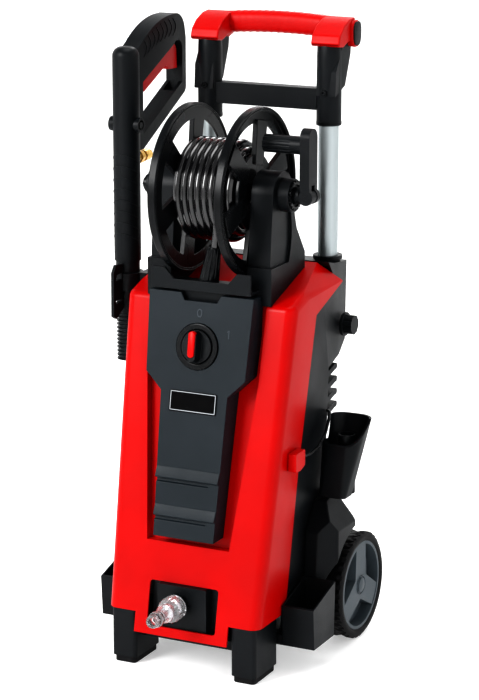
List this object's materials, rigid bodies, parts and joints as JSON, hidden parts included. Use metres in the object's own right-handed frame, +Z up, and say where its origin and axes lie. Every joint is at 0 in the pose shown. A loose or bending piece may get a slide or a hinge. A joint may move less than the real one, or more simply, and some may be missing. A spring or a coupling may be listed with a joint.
{
  "type": "pressure washer",
  "caption": "Upright electric pressure washer with a hose reel, telescoping trolley handle, wheels, parked spray gun and accessory holder.",
  "frame": {"origin": "on the floor under the middle of the machine's outline", "axes": "+X towards the accessory holder's side, -Y out of the front panel, +Z up"},
  "size_m": [0.3941, 0.428, 0.938],
  "materials": {
    "red_plastic": "satin-gloss moulded plastic",
    "black_plastic": "fine-grained black plastic",
    "console_plastic": "dark blue-grey fine-grained plastic",
    "badge": "glossy black blank badge",
    "rubber": "soft black rubber",
    "tyre_rubber": "treaded black rubber",
    "rim_plastic": "grey plastic",
    "hose": "glossy black hose skin",
    "aluminium": "satin anodised",
    "steel": "zinc plated",
    "brass": "turned brass",
    "clear_plastic": "clear grey plastic",
    "motor_iron": "cast housing",
    "pump_metal": "die cast"
  },
  "bodies": {
    "root": {"base_frame": "black_plastic", "foot_pads": "rubber", "front_shell": "red_plastic", "front_console": "console_plastic", "badge_plate": "badge", "switch_bezel": "black_plastic", "rotary_switch": "black_plastic", "inlet_plate": "black_plastic", "inlet_port": "brass", "quick_connector": "clear_plastic", "rear_cover": "black_plastic", "mast_guides": "black_plastic", "axle": "steel", "wheel_arches": "black_plastic", "reel_frame": "black_plastic", "reel_bearings": "black_plastic", "reel_swivel": "brass", "hose_tail": "hose", "hose_connector": "black_plastic", "gun_holder": "black_plastic", "accessory_cup": "black_plastic", "strap": "rubber", "strap_hook": "red_plastic", "cable_hooks": "black_plastic", "cable_gland": "rubber", "cover_screws": "steel", "motor_housing": "motor_iron", "pump_body": "pump_metal", "pump_pistons": "steel", "pump_head": "pump_metal", "water_pipes": "pump_metal"},
    "handle": {"handle_tubes": "aluminium", "handle_cheeks": "black_plastic", "handle_brace": "black_plastic", "handle_grip": "red_plastic", "grip_end_caps": "black_plastic", "handle_screws": "steel"},
    "reel": {"reel_flange_left": "black_plastic", "reel_flange_right": "black_plastic", "reel_drum": "black_plastic", "hose_wound": "hose", "crank_hub": "black_plastic"},
    "crank_arm": {"crank_arm": "black_plastic"},
    "crank_grip": {"crank_grip": "black_plastic"},
    "switch_knob": {"switch_knob": "black_plastic", "knob_pointer": "red_plastic"},
    "gun": {"gun_shell_left": "black_plastic", "gun_shell_right": "black_plastic", "gun_nipple": "brass", "muzzle_sleeve": "black_plastic"},
    "trigger": {"trigger": "red_plastic"},
    "trigger_lock": {"trigger_lock": "black_plastic"},
    "wheel_left": {"tyre_left": "tyre_rubber", "rim_left": "rim_plastic"},
    "wheel_right": {"tyre_right": "tyre_rubber", "rim_right": "rim_plastic"},
    "clamp_knob_left": {"clamp_knob_left": "black_plastic"},
    "clamp_knob_right": {"clamp_knob_right": "black_plastic"},
    "drive": {"motor_rotor": "motor_iron", "swash_plate": "steel"}
  },
  "joints": [
    {"name": "handle_slide", "type": "slide", "parent": "root", "child": "handle", "axis": [0, 0, 1], "range_m": [-0.17, 0]},
    {"name": "reel_turn", "type": "hinge", "parent": "root", "child": "reel", "pos_m": [0, 0.009, 0.698], "axis": [1, 0, 0], "range_deg": [-100, 100]},
    {"name": "crank_fold", "type": "hinge", "parent": "reel", "child": "crank_arm", "pos_m": [0.137, 0.009, 0.698], "axis": [0, 1, 0], "range_deg": [0, 180]},
    {"name": "crank_grip_spin", "type": "hinge", "parent": "crank_arm", "child": "crank_grip", "pos_m": [0.097, 0.009, 0.771], "axis": [1, 0, 0], "continuous": true},
    {"name": "switch_turn", "type": "hinge", "parent": "root", "child": "switch_knob", "pos_m": [0, -0.0748, 0.482], "axis": [0, -0.9852, 0.1714], "range_deg": [-60, 0]},
    {"name": "gun_lift", "type": "slide", "parent": "root", "child": "gun", "axis": [0, 0, 1], "range_m": [0, 0.16]},
    {"name": "trigger_pull", "type": "hinge", "parent": "gun", "child": "trigger", "pos_m": [-0.172, 0.066, 0.828], "axis": [1, 0, 0], "range_deg": [0, 8], "stiffness_Nm_per_rad": 3, "springref_deg": -5.73},
    {"name": "trigger_lock_turn", "type": "hinge", "parent": "gun", "child": "trigger_lock", "pos_m": [-0.172, 0.187, 0.899], "axis": [1, 0, 0], "range_deg": [0, 20]},
    {"name": "wheel_left_spin", "type": "hinge", "parent": "root", "child": "wheel_left", "pos_m": [-0.153, 0.132, 0.082], "axis": [1, 0, 0], "continuous": true},
    {"name": "wheel_right_spin", "type": "hinge", "parent": "root", "child": "wheel_right", "pos_m": [0.153, 0.132, 0.082], "axis": [1, 0, 0], "continuous": true},
    {"name": "clamp_knob_left_turn", "type": "hinge", "parent": "root", "child": "clamp_knob_left", "pos_m": [-0.13, 0.161, 0.479], "axis": [1, 0, 0], "range_deg": [0, 360]},
    {"name": "clamp_knob_right_turn", "type": "hinge", "parent": "root", "child": "clamp_knob_right", "pos_m": [0.13, 0.161, 0.479], "axis": [1, 0, 0], "range_deg": [-360, 0]},
    {"name": "motor_spin", "type": "hinge", "parent": "root", "child": "drive", "pos_m": [0, 0.028, 0.38], "axis": [0, 0, 1], "continuous": true}
  ]
}
